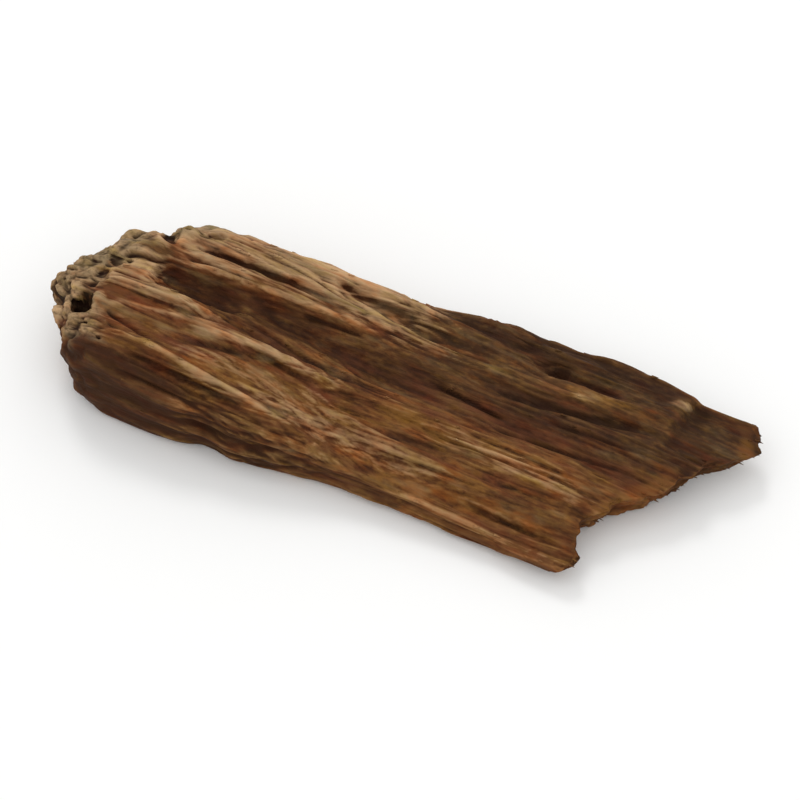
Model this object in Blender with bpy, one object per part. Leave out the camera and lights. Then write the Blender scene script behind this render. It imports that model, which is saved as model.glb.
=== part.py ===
"""Agarwood piece: one weathered chip of resinous heartwood, split along the grain.

The chip lies on its broad underside. +X runs along the grain, from the thick knobby end to the thin
splintered tongue. +Y runs across the grain, from the near side wall to the rolled far rim. +Z is up.
The origin is under the middle of the chip, on the surface that it lies on.

The solid is one block whose points each have a place along, across and through the grain, from 0 to 1.
Those three numbers are mapped to the chip's form: its broken ends, its edges, its upper face with ridges
and grooves, and its underside. Every size here is in millimetres, and MM turns it into Blender's metres.
"""

import itertools

import bmesh
import bpy
import numpy as np

MM = 0.001
PIECE = "agarwood_piece"

# Driving sizes of the chip
LENGTH = 70.0
WIDTH = 26.2
THICKNESS = 9.3

# Cuts of the block along, across and through the grain
BLOCK_CUTS = (52, 33, 6)
END_CROWDING = 0.42

# The two broken ends: share of the way across, and place along the grain
KNOBBY_END = (
    (0.00, 6.8), (0.04, 5.2), (0.08, 4.6), (0.15, 3.9), (0.19, 2.9), (0.26, 2.0), (0.33, 1.6),
    (0.38, 0.0), (0.47, 0.2), (0.57, 0.8), (0.72, 2.6), (0.81, 4.2), (0.845, 6.0), (0.885, 7.5),
    (0.93, 7.6), (0.97, 8.6), (1.00, 10.1),
)
LOBE_RAGGED, LOBE_SLANT = 0.7, 0.4
TONGUE_END = (
    (0.00, 58.6), (0.04, 59.3), (0.08, 59.6), (0.11, 58.7), (0.21, 58.1), (0.25, 58.4), (0.30, 59.9),
    (0.34, 59.8), (0.40, 61.4), (0.48, 63.3), (0.58, 64.6), (0.61, 65.5), (0.67, 65.6), (0.71, 66.1),
    (0.75, 67.6), (0.80, 68.8), (0.87, 70.0), (0.94, 69.4), (1.00, 68.6),
)

# Long edges and heights: place along the grain, and the value there
NEAR_EDGE = (
    (0, -0.4), (8, -0.8), (12, -1.1), (18, -1.2), (21, -0.6), (24, -0.8), (28, 0.0), (33, 0.9),
    (38, 1.1), (52, 1.0), (70, 0.9),
)
FAR_EDGE = (
    (0, 19.6), (9, 20.2), (14, 20.7), (21, 21.3), (29, 21.8), (34, 22.2), (38, 22.7), (42, 23.9),
    (48, 24.1), (55, 24.7), (58, 24.4), (62, 23.9), (70, 24.1),
)
CREST_HEIGHT = ((0, 6.6), (5, 8.1), (12, 7.9), (22, 6.7), (29, 5.6), (34, 4.4), (45, 3.0), (58, 2.3), (70, 2.0))
RIM_HEIGHT = ((0, 7.0), (9, 8.5), (13, 8.8), (21, 8.2), (29, 7.3), (38, 6.2), (45, 5.6), (55, 5.2), (70, 4.2))
CROWN_HEIGHT = ((0, 0.3), (14, 0.4), (30, 0.2), (45, 0.5), (60, 0.7), (70, 0.5))

# The tongue lies below the upper layer, past a step that runs slantwise across the far half
STEP_PLACE = 61.3
STEP_SLANT = -2.5
STEP_LENGTH = 1.5
STEP_DROP = 0.8
STEP_FROM, STEP_TO = 0.55, 0.92

# Underside: the tongue and both long edges lift off the surface, and the flats in between touch it
TONGUE_LIFT, TONGUE_LIFT_FROM = 1.7, 46.0
NEAR_LIFT, FAR_LIFT = 0.6, 1.5
NEAR_LIFT_WIDTH, FAR_LIFT_WIDTH = 0.14, 0.22
NEAR_LIFT_FROM, NEAR_LIFT_LENGTH = 20.0, 20.0
UNDER_SAG = 0.45
UNDER_WAVE, UNDER_WAVE_ALONG, UNDER_WAVES_ACROSS = 0.55, 17.0, 5.0

# The knobby end rounds over; the tongue's break slants back under the upper face
NOSE_RADIUS, NOSE_LEVEL, NOSE_BLUNT = 4.2, 4.3, 0.34
BREAK_SLANT = 1.6
BREAK_RAGGED = 0.8
RAGS_ACROSS, RAGS_THROUGH = 17.0, 1.3

# How square the cross-section's corners are, at the near crest and at the rolled far rim
NEAR_SQUARENESS, FAR_SQUARENESS = 7.0, 4.0

# Ridges (height above 0) and grooves (below 0) of the upper face: two ends as (along, across), half width, height
UPPER_LINES = (
    ((8.6, 11.8), (20.0, 11.8), 1.3, -1.9),
    ((15.0, 12.1), (45.0, 13.2), 2.1, -1.0),
    ((9.8, 16.2), (28.0, 16.9), 0.7, -0.5),
    ((10.0, 14.6), (21.0, 14.8), 0.7, -0.4),
    ((25.0, 18.9), (41.0, 18.8), 0.8, -0.6),
    ((10.0, 18.6), (40.0, 20.6), 1.0, 0.5),
    ((9.0, 13.3), (38.0, 16.2), 0.8, 0.5),
    ((5.0, 3.7), (36.0, 1.5), 0.9, 0.6),
    ((8.0, 1.4), (28.0, 0.9), 0.8, -0.3),
    ((4.0, 8.8), (18.0, 9.2), 1.0, 0.7),
    ((14.0, 7.1), (32.0, 9.1), 0.8, 0.4),
    ((5.5, 5.2), (20.0, 5.7), 1.3, -0.6),
    ((20.0, 7.4), (46.0, 6.9), 0.9, -0.4),
    ((14.0, 4.2), (38.0, 3.8), 1.0, 0.4),
    ((35.0, 13.8), (52.0, 12.7), 0.7, -0.4),
    ((45.5, 20.3), (59.0, 20.2), 0.8, -0.5),
    ((40.0, 15.2), (63.0, 18.2), 0.9, -0.5),
    ((40.0, 18.2), (63.0, 19.4), 0.9, 0.4),
    ((32.0, 10.3), (60.0, 10.2), 1.0, 0.4),
    ((42.0, 8.8), (62.0, 7.7), 0.9, 0.35),
    ((33.0, 5.0), (59.0, 5.2), 1.0, 0.35),
    ((34.0, 2.9), (60.0, 3.3), 0.8, -0.4),
)
# Ledges along the near wall: two ends as (along, height share), half width as a share, and how far out
WALL_LINES = (
    ((7.0, 0.64), (36.0, 0.68), 0.10, -0.3),
    ((11.0, 0.34), (42.0, 0.40), 0.11, -0.3),
    ((8.0, 0.48), (36.0, 0.54), 0.10, 0.2),
)
# Grooves of the underside, as those of the upper face, but their height is how deep they go in
UNDER_LINES = (
    ((10.0, 5.2), (44.0, 6.4), 1.0, 0.9),
    ((18.0, 15.8), (58.0, 16.4), 1.1, 1.0),
    ((4.0, 11.4), (26.0, 12.2), 0.9, 0.7),
    ((34.0, 10.6), (55.0, 10.2), 0.8, 0.8),
)
LINE_FADE_IN, LINE_FADE_OUT = 0.22, 0.40
# Weathered knobs and pits near the knobby end: along, across, radius, height
KNOBS = (
    (1.2, 8.3, 1.3, 0.8), (2.0, 10.9, 1.3, 0.9), (3.9, 12.8, 1.3, 0.9), (6.8, 13.6, 1.6, 0.6),
    (8.4, 15.0, 0.9, 0.4), (9.8, 17.3, 1.3, 0.9), (2.9, 7.2, 1.0, 0.5), (6.0, 6.2, 0.8, 0.5),
    (3.6, 3.6, 1.0, 0.5), (4.7, 5.4, 1.0, -2.7), (4.8, 9.2, 0.7, -0.8), (5.3, 10.9, 0.7, -0.8),
    (8.7, 16.2, 0.9, -0.9), (49.0, 20.2, 0.9, -0.5),
)

# Rounded lumps with creases between them on the knobby end: size along and across the grain, height, the
# level that is neither lump nor crease, how far they reach from the end, and how deep its face is
LUMP_ALONG, LUMP_ACROSS, LUMP_HEIGHT, LUMP_LEVEL = 3.2, 2.3, 0.85, 0.3
LUMP_REACH, LUMP_FACE = 7.0, 2.5

# Unevenness everywhere, a broad one and one like coarse grain: length along and across the grain, and height
WAVES = ((13.0, 3.4, 0.34), (22.0, 1.8, 0.30))
WAVE_SEED = 7
# Share of the width at each side over which the walls take up the ledges and the unevenness
WALL_SHARE = 0.15
LATTICE = 256

WOOD_COLOUR = (0.130, 0.067, 0.032, 1.0)
WOOD_ROUGHNESS = 0.82
SHARP_ANGLE = 0.9


def clear_scene():
    """Removes every object that the file opened with."""
    for obj in list(bpy.data.objects):
        bpy.data.objects.remove(obj, do_unlink=True)


def blend(share):
    """Eases a share from 0 to 1, flat at both ends."""
    share = np.clip(share, 0.0, 1.0)
    return share * share * (3.0 - 2.0 * share)


def curve_through(stations, place):
    """A smooth curve through (place, value) stations, made of cubic pieces that share their slopes."""
    places, values = np.array(stations, float).T
    slopes = np.gradient(values, places)
    left = np.clip(np.searchsorted(places, place) - 1, 0, len(places) - 2)
    span = places[left + 1] - places[left]
    t = np.clip((place - places[left]) / span, 0.0, 1.0)
    ease = blend(t)
    bend_left = t * (1.0 - t) ** 2 * span * slopes[left]
    bend_right = t**2 * (t - 1.0) * span * slopes[left + 1]
    return values[left] * (1.0 - ease) + values[left + 1] * ease + bend_left + bend_right


def lattice_noise(points, seed):
    """Smooth noise from about -1 to 1: random slopes at whole-number points, eased between them."""
    generator = np.random.default_rng(seed)
    order = generator.permutation(LATTICE)
    slopes = generator.normal(size=(LATTICE, 3))
    slopes /= np.linalg.norm(slopes, axis=1, keepdims=True)
    cell = np.floor(points).astype(np.int64)
    inside = points - cell
    fade = inside**3 * (inside * (inside * 6.0 - 15.0) + 10.0)
    total = np.zeros(points.shape[:-1])
    for corner in itertools.product((0, 1), repeat=3):
        key = (cell + corner) % LATTICE
        picked = order[(order[(order[key[..., 0]] + key[..., 1]) % LATTICE] + key[..., 2]) % LATTICE]
        weight = np.prod(np.where(corner, fade, 1.0 - fade), axis=-1)
        total += weight * np.sum(slopes[picked] * (inside - corner), axis=-1)
    return 1.6 * total


def line_relief(place, height, lines):
    """Sum of smooth ridges and grooves, each along a straight line and fading out towards its ends."""
    total = np.zeros_like(place)
    for (x0, h0), (x1, h1), half_width, rise in lines:
        along = np.clip((place - x0) / (x1 - x0), -0.2, 1.2)
        off = (height - (h0 + (h1 - h0) * along)) / half_width
        fade = blend(along / LINE_FADE_IN) * blend((1.0 - along) / LINE_FADE_OUT)
        total += rise * fade * np.exp(-off * off)
    return total


def knob_relief(x, y):
    """Sum of the round knobs and pits of the upper face."""
    total = np.zeros_like(x)
    for x0, y0, radius, rise in KNOBS:
        total += rise * np.exp(-(((x - x0) ** 2 + (y - y0) ** 2) / radius**2) ** 1.5)
    return total


def upper_height(x, y, across):
    """Height of the upper face: it falls from the rim and the crest to the tongue, with relief on it."""
    height = (1.0 - across) * curve_through(CREST_HEIGHT, x) + across * curve_through(RIM_HEIGHT, x)
    height += 4.0 * across * (1.0 - across) * curve_through(CROWN_HEIGHT, x)
    past_step = blend((x - STEP_PLACE - STEP_SLANT * (1.0 - across)) / STEP_LENGTH)
    height -= STEP_DROP * past_step * blend((across - STEP_FROM) / (STEP_TO - STEP_FROM))
    return height + line_relief(x, y, UPPER_LINES) + knob_relief(x, y)


def under_height(x, y, across):
    """Height of the underside, below 0 where it is cut flat: lifted edges, grooves and a gentle wave."""
    lift = TONGUE_LIFT * blend((x - TONGUE_LIFT_FROM) / (LENGTH - TONGUE_LIFT_FROM))
    lift += NEAR_LIFT * blend(1.0 - across / NEAR_LIFT_WIDTH) * blend((x - NEAR_LIFT_FROM) / NEAR_LIFT_LENGTH)
    lift += FAR_LIFT * blend(1.0 - (1.0 - across) / FAR_LIFT_WIDTH)
    spot = np.stack([x / UNDER_WAVE_ALONG, across * UNDER_WAVES_ACROSS, np.zeros_like(x)], -1)
    lift += UNDER_WAVE * lattice_noise(spot, WAVE_SEED + 1) + line_relief(x, y, UNDER_LINES)
    return lift - UNDER_SAG


def chip_points(block):
    """Maps the block's places along, across and through the grain, from 0 to 1, to points of the chip."""
    along, across, through = block.T
    along = along - END_CROWDING * np.sin(2.0 * np.pi * along) / (2.0 * np.pi)

    side, level = 2.0 * across - 1.0, 2.0 * through - 1.0
    square = 0.5 * (NEAR_SQUARENESS + FAR_SQUARENESS) + 0.5 * side * (FAR_SQUARENESS - NEAR_SQUARENESS)
    reach = np.maximum(np.maximum(abs(side), abs(level)), 1e-9)
    rounding = reach / (abs(side) ** square + abs(level) ** square + 1e-12) ** (1.0 / square)
    across, level = 0.5 + 0.5 * side * rounding, level * rounding

    start = np.interp(across, *np.array(KNOBBY_END).T)
    end = np.interp(across, *np.array(TONGUE_END).T)
    rags = lattice_noise(np.stack([across * RAGS_ACROSS, level * RAGS_THROUGH, 0.0 * level], -1), WAVE_SEED + 2)
    start = start + (LOBE_RAGGED * rags + LOBE_SLANT * (1.0 - level)) * (1.0 - along)
    end = end - BREAK_SLANT * 0.5 * (1.0 - level) + BREAK_RAGGED * np.minimum(rags, 0.0) * along
    x = start + (end - start) * along
    near, far = curve_through(NEAR_EDGE, x), curve_through(FAR_EDGE, x)
    y = near + (far - near) * across

    top, bottom = upper_height(x, y, across), under_height(x, y, across)
    nose = np.clip((x - start) / NOSE_RADIUS, 0.0, 1.0)
    nose = NOSE_BLUNT + (1.0 - NOSE_BLUNT) * np.sqrt(nose * (2.0 - nose))
    top = NOSE_LEVEL + (top - NOSE_LEVEL) * np.where(top > NOSE_LEVEL, nose, 1.0)
    bottom = NOSE_LEVEL + (bottom - NOSE_LEVEL) * nose
    z = 0.5 * (top + bottom) + 0.5 * level * (top - bottom)

    wave = np.zeros_like(x)
    for step, (length, width, rise) in enumerate(WAVES):
        wave += rise * lattice_noise(np.stack([x / length, y / width, z / width], -1), WAVE_SEED + 3 + step)
    lumps = lattice_noise(np.stack([x / LUMP_ALONG, y / LUMP_ACROSS, z / LUMP_ACROSS], -1), WAVE_SEED + 5)
    lumps = LUMP_HEIGHT * (abs(lumps) - LUMP_LEVEL) * blend(1.0 - (x - start) / LUMP_REACH)
    wave += lumps
    wall = line_relief(x, 0.5 + 0.5 * level, WALL_LINES)
    y = y - (wall + wave) * blend(1.0 - across / WALL_SHARE) + wave * blend(1.0 - (1.0 - across) / WALL_SHARE)
    z = np.maximum(z + wave * blend(level), 0.0)
    return np.stack([x - lumps * blend(1.0 - (x - start) / LUMP_FACE), y, z], -1)


def fitted(points):
    """Scales the points a little so that the chip has exactly its driving sizes, and centres its footprint."""
    low, high = points.min(axis=0), points.max(axis=0)
    size = np.array([LENGTH, WIDTH, THICKNESS])
    points = (points - low) * size / (high - low)
    return points - np.array([0.5 * LENGTH, 0.5 * WIDTH, 0.0])


def wood_material():
    """Dry, dark brown heartwood with hardly any shine."""
    material = bpy.data.materials.new("agarwood")
    material.use_nodes = True
    shader = material.node_tree.nodes["Principled BSDF"]
    shader.inputs["Base Color"].default_value = WOOD_COLOUR
    shader.inputs["Roughness"].default_value = WOOD_ROUGHNESS
    shader.inputs["Metallic"].default_value = 0.0
    return material


def block_mesh():
    """A unit cube from 0 to 1, cut evenly along, across and through the grain."""
    bm = bmesh.new()
    bmesh.ops.create_cube(bm, size=1.0)
    bmesh.ops.translate(bm, verts=bm.verts, vec=(0.5, 0.5, 0.5))
    for axis, cuts in enumerate(BLOCK_CUTS):
        lengthwise = [e for e in bm.edges if abs(e.verts[0].co[axis] - e.verts[1].co[axis]) > 0.5]
        bmesh.ops.subdivide_edges(bm, edges=lengthwise, cuts=cuts, use_grid_fill=True)
    bmesh.ops.triangulate(bm, faces=bm.faces)
    mesh = bpy.data.meshes.new(PIECE)
    bm.to_mesh(mesh)
    bm.free()
    return mesh


def build_piece(collection):
    """The chip: the cut block, with its points moved to the chip's form."""
    mesh = block_mesh()
    block = np.empty(3 * len(mesh.vertices), np.float32)
    mesh.vertices.foreach_get("co", block)
    points = fitted(chip_points(block.reshape(-1, 3).astype(float)))
    mesh.vertices.foreach_set("co", (points * MM).astype(np.float32).ravel())
    mesh.materials.append(wood_material())
    mesh.shade_smooth()
    mesh.set_sharp_from_angle(angle=SHARP_ANGLE)
    mesh.update()
    piece = bpy.data.objects.new(PIECE, mesh)
    collection.objects.link(piece)
    return piece


def main():
    """Builds the agarwood piece in its own collection."""
    clear_scene()
    collection = bpy.data.collections.new("agarwood piece")
    bpy.context.scene.collection.children.link(collection)
    build_piece(collection)


main()
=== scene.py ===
"""Agarwood piece: the looks of one weathered chip of resinous heartwood, split along the grain.

The chip's skin is one closed net of points. Each point has a place along, across and through the grain,
from 0 to 1. ChipForm maps those three numbers to the chip's form, WeatheredSkin adds what splitting and
weather did to it and where painted shade and highlight go, and Heartwood colours it. Splinters adds the
fine slivers that stand on its broken ends and torn edges. Lengths are in millimetres until a mesh is
made, and MM turns them into metres.
"""

import itertools
import logging
import math
from collections.abc import Mapping
from dataclasses import dataclass
from enum import Enum

import bpy
import numpy as np
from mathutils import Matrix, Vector


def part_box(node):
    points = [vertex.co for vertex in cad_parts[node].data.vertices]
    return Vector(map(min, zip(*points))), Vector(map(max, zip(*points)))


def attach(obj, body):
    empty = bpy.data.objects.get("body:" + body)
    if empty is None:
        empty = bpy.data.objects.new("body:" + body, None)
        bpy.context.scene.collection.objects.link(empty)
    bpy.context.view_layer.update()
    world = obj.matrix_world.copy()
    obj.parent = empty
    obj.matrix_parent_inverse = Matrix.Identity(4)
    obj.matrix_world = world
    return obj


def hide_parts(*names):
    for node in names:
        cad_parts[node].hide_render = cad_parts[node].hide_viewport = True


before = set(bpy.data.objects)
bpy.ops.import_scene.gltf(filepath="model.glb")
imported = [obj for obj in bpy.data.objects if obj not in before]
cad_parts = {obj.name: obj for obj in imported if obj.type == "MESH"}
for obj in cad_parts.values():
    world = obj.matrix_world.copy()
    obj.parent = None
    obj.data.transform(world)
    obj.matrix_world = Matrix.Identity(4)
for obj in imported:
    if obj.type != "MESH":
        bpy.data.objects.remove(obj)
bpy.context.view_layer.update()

Array = np.ndarray
Pair = tuple[float, float]
Stations = tuple[Pair, ...]
Lines = tuple[tuple[Pair, Pair, float, float], ...]
Spots = tuple[tuple[float, float, float, float], ...]
Colour = tuple[float, float, float, float]

MM = 0.001
# How far up a face points, as its direction's height, when it counts fully as upper face
UPWARD = 0.5
NODE = "agarwood_piece"
# After how many slopes the lattice noise repeats, and what brings it to about -1 to 1
LATTICE = 256
LATTICE_GAIN = 1.6
# Guards divisions by zero
TINY = 1e-12

log = logging.getLogger("agarwood")


def blend(share: Array) -> Array:
    """Eases a share from 0 to 1, flat at both ends: 3s² - 2s³."""
    share = np.clip(share, 0.0, 1.0)
    return share * share * (3.0 - 2.0 * share)


def curve_through(stations: Stations, place: Array) -> Array:
    """A smooth curve through stations, made of cubic pieces that share their slopes.

    Args:
        stations: (place, value) pairs in rising order of place.
        place: where the curve is read.

    Returns:
        The curve's value at each place.
    """
    places, values = np.array(stations, float).T
    slopes = np.gradient(values, places)
    left = np.clip(np.searchsorted(places, place) - 1, 0, len(places) - 2)
    span = places[left + 1] - places[left]
    t = np.clip((place - places[left]) / span, 0.0, 1.0)
    ease = blend(t)
    bend_left = t * (1.0 - t) ** 2 * span * slopes[left]
    bend_right = t**2 * (t - 1.0) * span * slopes[left + 1]
    return values[left] * (1.0 - ease) + values[left + 1] * ease + bend_left + bend_right


def lattice_noise(points: Array, seed: int) -> Array:
    """Smooth noise from about -1 to 1: random slopes at whole-number points, eased between them.

    The easing of a share s is 6s⁵ - 15s⁴ + 10s³.

    Args:
        points: places in units of the noise's own wavelength, with x, y, z in the last axis.
        seed: picks the slopes.

    Returns:
        One value for each point.
    """
    generator = np.random.default_rng(seed)
    order = generator.permutation(LATTICE)
    slopes = generator.normal(size=(LATTICE, 3))
    slopes /= np.linalg.norm(slopes, axis=1, keepdims=True)
    cell = np.floor(points).astype(np.int64)
    inside = points - cell
    fade = inside**3 * (inside * (inside * 6.0 - 15.0) + 10.0)
    total = np.zeros(points.shape[:-1])
    for corner in itertools.product((0, 1), repeat=3):
        key = (cell + corner) % LATTICE
        picked = order[(order[(order[key[..., 0]] + key[..., 1]) % LATTICE] + key[..., 2]) % LATTICE]
        weight = np.prod(np.where(corner, fade, 1.0 - fade), axis=-1)
        total += weight * np.sum(slopes[picked] * (inside - corner), axis=-1)
    return LATTICE_GAIN * total


def grain_noise(points: Array, along: float, across: float, seed: int) -> Array:
    """Lattice noise whose patches are `along` mm long and `across` mm wide and deep."""
    return lattice_noise(points / np.array([along, across, across]), seed)


def line_relief(place: Array, height: Array, lines: Lines, fade: Pair) -> Array:
    """Sum of ridges and grooves: rise times e^-(distance/half width)², fading out towards their ends.

    Args:
        place: how far along the grain each point lies.
        height: how far across, or up a wall.
        lines: the ridges (rise above 0) and grooves (rise below 0).
        fade: the share of a line's length over which it fades in, and out.

    Returns:
        The relief at each point.
    """
    total = np.zeros_like(place)
    for (x0, h0), (x1, h1), half_width, rise in lines:
        along = np.clip((place - x0) / (x1 - x0), -0.2, 1.2)
        off = (height - (h0 + (h1 - h0) * along)) / half_width
        shown = blend(along / fade[0]) * blend((1.0 - along) / fade[1])
        total += rise * shown * np.exp(-off * off)
    return total


@dataclass(frozen=True)
class BlockNet:
    """The closed surface of a block from 0 to 1, cut into quads.

    Attributes:
        cells: how many quads along, across and through the grain.
    """

    cells: tuple[int, int, int] = (214, 172, 28)

    def surface(self) -> tuple[Array, Array]:
        """Lays a grid on each of the six sides and joins them where they share an edge.

        Returns:
            The points' places from 0 to 1, and the quads as point numbers, facing out.
        """
        counts = np.array(self.cells) + 1
        strides = np.array([counts[1] * counts[2], counts[2], 1])
        quads = []
        for axis, far in itertools.product(range(3), (0, 1)):
            sides = (axis + 1) % 3, (axis + 2) % 3
            first, second = (strides[side] for side in sides)
            steps = np.meshgrid(*(np.arange(self.cells[side]) for side in sides), indexing="ij")
            corner = far * self.cells[axis] * strides[axis] + steps[0] * first + steps[1] * second
            ring = [corner, corner + first, corner + first + second, corner + second]
            quads.append(np.stack(ring if far else ring[::-1], axis=-1).reshape(-1, 4))
        used, quads = np.unique(np.concatenate(quads), return_inverse=True)
        places = np.stack(np.unravel_index(used, counts), axis=-1) / np.array(self.cells)
        return places, quads.reshape(-1, 4)


@dataclass(frozen=True)
class SkinNet:
    """A net of points and quads, with what follows from how they are joined."""

    quads: Array
    count: int

    def normals(self, points: Array) -> Array:
        """The outward direction at each point: the sum of its quads' diagonal cross products, unit long."""
        a, b, c, d = (points[self.quads[:, corner]] for corner in range(4))
        face = np.cross(c - a, d - b)
        total = np.stack(
            [
                sum(np.bincount(self.quads[:, corner], face[:, axis], self.count) for corner in range(4))
                for axis in range(3)
            ],
            axis=-1,
        )
        return total / np.maximum(np.linalg.norm(total, axis=1, keepdims=True), TINY)

    def smoothed(self, values: Array, rounds: int) -> Array:
        """Each point's value, averaged with its neighbours' again and again.

        Args:
            values: one row for each point.
            rounds: how many times the averaging is done.

        Returns:
            The averaged rows.
        """
        sides = np.concatenate([self.quads[:, [corner, (corner + 1) % 4]] for corner in range(4)])
        degree = np.bincount(sides[:, 0], minlength=self.count)[:, None]
        for _ in range(rounds):
            near = np.stack(
                [np.bincount(sides[:, 0], column[sides[:, 1]], self.count) for column in values.T], axis=-1
            )
            values = 0.5 * values + 0.5 * near / degree
        return values


@dataclass(frozen=True)
class ChipForm:
    """The chip's form, as its solid has it: broken ends, long edges, faces, ridges and grooves.

    Stations are (place, value), lines are (two ends, half width, height) and spots are (along, across,
    radius, height). Across is measured from the near edge, and along from the knobby end's tip.

    Attributes:
        end_crowding: how much closer together the net's rows lie at the two ends.
        knobby_end, tongue_end: how far along the chip starts and ends, by the share of its width.
        near_edge, far_edge: where across it its long edges lie, by the place along.
        crest_height, rim_height: the upper face's height along the near and the far edge.
        crown_height: how far it bulges between them.
        upper_lines, under_lines: the ridges and grooves of the upper face and the underside.
        wall_lines: those of the long sides, whose height is a share of the thickness.
        line_fade: the shares of a line over which it fades in, and out.
        knobs: lumps and hollows.
        step_place, step_slant: where the tongue's step lies at the far edge, and how much further along
            at the near edge.
        step_across: the shares of the width between which it grows to its drop.
        tongue_lift: how far the tongue's underside rises, and from where along.
        near_lift: how far the near edge's underside rises, over which share of the width, from where
            along, and over what length.
        far_lift: how far the far edge's underside rises, and over which share of the width.
        under_sag: how deep the underside is cut flat.
        under_wave: the underside's wave: height, length, and count across.
        nose: the knobby end's rounding: radius, level of its tip, and how blunt it is.
        lobe: how ragged the knobby end is, and how far it slants back below.
        broken: how far the break slants back below, and how ragged it is.
        rags: the rags' count across and through.
        squareness: how square the corners of a section are at the near and the far edge.
        waves: soft unevenness as (length, width, height).
        lumps: the knobby end's lumps: length, width, height, and the noise at their even level.
        lump_reach: how far in the lumps reach, and how far in they push the end out.
        wall_share: the share of the width that counts as a side.
    """

    end_crowding: float = 0.42
    knobby_end: Stations = (
        (0.00, 6.8), (0.04, 5.2), (0.08, 4.6), (0.15, 3.9), (0.19, 2.9), (0.26, 2.0), (0.33, 1.6),
        (0.38, 0.0), (0.47, 0.2), (0.57, 0.8), (0.72, 2.6), (0.81, 4.2), (0.845, 6.0), (0.885, 7.5),
        (0.93, 7.6), (0.97, 8.6), (1.00, 10.1),
    )
    tongue_end: Stations = (
        (0.00, 58.6), (0.04, 59.3), (0.08, 59.6), (0.11, 58.7), (0.21, 58.1), (0.25, 58.4), (0.30, 59.9),
        (0.34, 59.8), (0.40, 61.4), (0.48, 63.3), (0.58, 64.6), (0.61, 65.5), (0.67, 65.6), (0.71, 66.1),
        (0.75, 67.6), (0.80, 68.8), (0.87, 70.0), (0.94, 69.4), (1.00, 68.6),
    )
    near_edge: Stations = (
        (0, -0.4), (8, -0.8), (12, -1.1), (18, -1.2), (21, -0.6), (24, -0.8), (28, 0.0), (33, 0.9),
        (38, 1.1), (52, 1.0), (70, 0.9),
    )
    far_edge: Stations = (
        (0, 19.6), (9, 20.2), (14, 20.7), (21, 21.3), (29, 21.8), (34, 22.2), (38, 22.7), (42, 23.9),
        (48, 24.1), (55, 24.7), (58, 24.4), (62, 23.9), (70, 24.1),
    )
    crest_height: Stations = (
        (0, 6.6), (5, 8.1), (12, 7.9), (22, 6.7), (29, 5.6), (34, 4.4), (45, 3.0), (58, 2.3), (70, 2.0),
    )
    rim_height: Stations = (
        (0, 7.0), (9, 8.5), (13, 8.8), (21, 8.2), (29, 7.3), (38, 6.2), (45, 5.6), (55, 5.2), (70, 4.2),
    )
    crown_height: Stations = ((0, 0.3), (14, 0.4), (30, 0.2), (45, 0.5), (60, 0.7), (70, 0.5))
    upper_lines: Lines = (
        ((8.6, 11.8), (20.0, 11.8), 1.3, -1.9), ((15.0, 12.1), (45.0, 13.2), 2.1, -1.0),
        ((9.8, 16.2), (28.0, 16.9), 0.7, -0.5), ((10.0, 14.6), (21.0, 14.8), 0.7, -0.4),
        ((25.0, 18.9), (41.0, 18.8), 0.8, -0.6), ((10.0, 18.6), (40.0, 20.6), 1.0, 0.5),
        ((9.0, 13.3), (38.0, 16.2), 0.8, 0.5), ((5.0, 3.7), (36.0, 1.5), 0.9, 0.6),
        ((8.0, 1.4), (28.0, 0.9), 0.8, -0.3), ((4.0, 8.8), (18.0, 9.2), 1.0, 0.7),
        ((14.0, 7.1), (32.0, 9.1), 0.8, 0.4), ((5.5, 5.2), (20.0, 5.7), 1.3, -0.6),
        ((20.0, 7.4), (46.0, 6.9), 0.9, -0.4), ((14.0, 4.2), (38.0, 3.8), 1.0, 0.4),
        ((35.0, 13.8), (52.0, 12.7), 0.7, -0.4), ((45.5, 20.3), (59.0, 20.2), 0.8, -0.5),
        ((40.0, 15.2), (63.0, 18.2), 0.9, -0.5), ((40.0, 18.2), (63.0, 19.4), 0.9, 0.4),
        ((32.0, 10.3), (60.0, 10.2), 1.0, 0.4), ((42.0, 8.8), (62.0, 7.7), 0.9, 0.35),
        ((33.0, 5.0), (59.0, 5.2), 1.0, 0.35), ((34.0, 2.9), (60.0, 3.3), 0.8, -0.4),
    )
    wall_lines: Lines = (
        ((7.0, 0.64), (36.0, 0.68), 0.10, -0.3), ((11.0, 0.34), (42.0, 0.40), 0.11, -0.3),
        ((8.0, 0.48), (36.0, 0.54), 0.10, 0.2),
    )
    under_lines: Lines = (
        ((10.0, 5.2), (44.0, 6.4), 1.0, 0.9), ((18.0, 15.8), (58.0, 16.4), 1.1, 1.0),
        ((4.0, 11.4), (26.0, 12.2), 0.9, 0.7), ((34.0, 10.6), (55.0, 10.2), 0.8, 0.8),
    )
    line_fade: Pair = (0.22, 0.40)
    knobs: Spots = (
        (1.2, 8.3, 1.3, 0.8), (2.0, 10.9, 1.3, 0.9), (3.9, 12.8, 1.3, 0.9), (6.8, 13.6, 1.6, 0.6),
        (8.4, 15.0, 0.9, 0.4), (9.8, 17.3, 1.3, 0.9), (2.9, 7.2, 1.0, 0.5), (6.0, 6.2, 0.8, 0.5),
        (3.6, 3.6, 1.0, 0.5), (4.7, 5.4, 1.0, -2.7), (4.8, 9.2, 0.7, -0.8), (5.3, 10.9, 0.7, -0.8),
        (8.7, 16.2, 0.9, -0.9), (49.0, 20.2, 0.9, -0.5),
    )
    step_place: float = 61.3
    step_slant: float = -2.5
    step_length: float = 1.5
    step_drop: float = 0.8
    step_across: Pair = (0.55, 0.92)
    tongue_lift: Pair = (1.7, 46.0)
    near_lift: tuple[float, float, float, float] = (0.6, 0.14, 20.0, 20.0)
    far_lift: Pair = (1.5, 0.22)
    under_sag: float = 0.45
    under_wave: tuple[float, float, float] = (0.55, 17.0, 5.0)
    nose: tuple[float, float, float] = (4.2, 4.3, 0.34)
    lobe: Pair = (0.7, 0.4)
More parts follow.
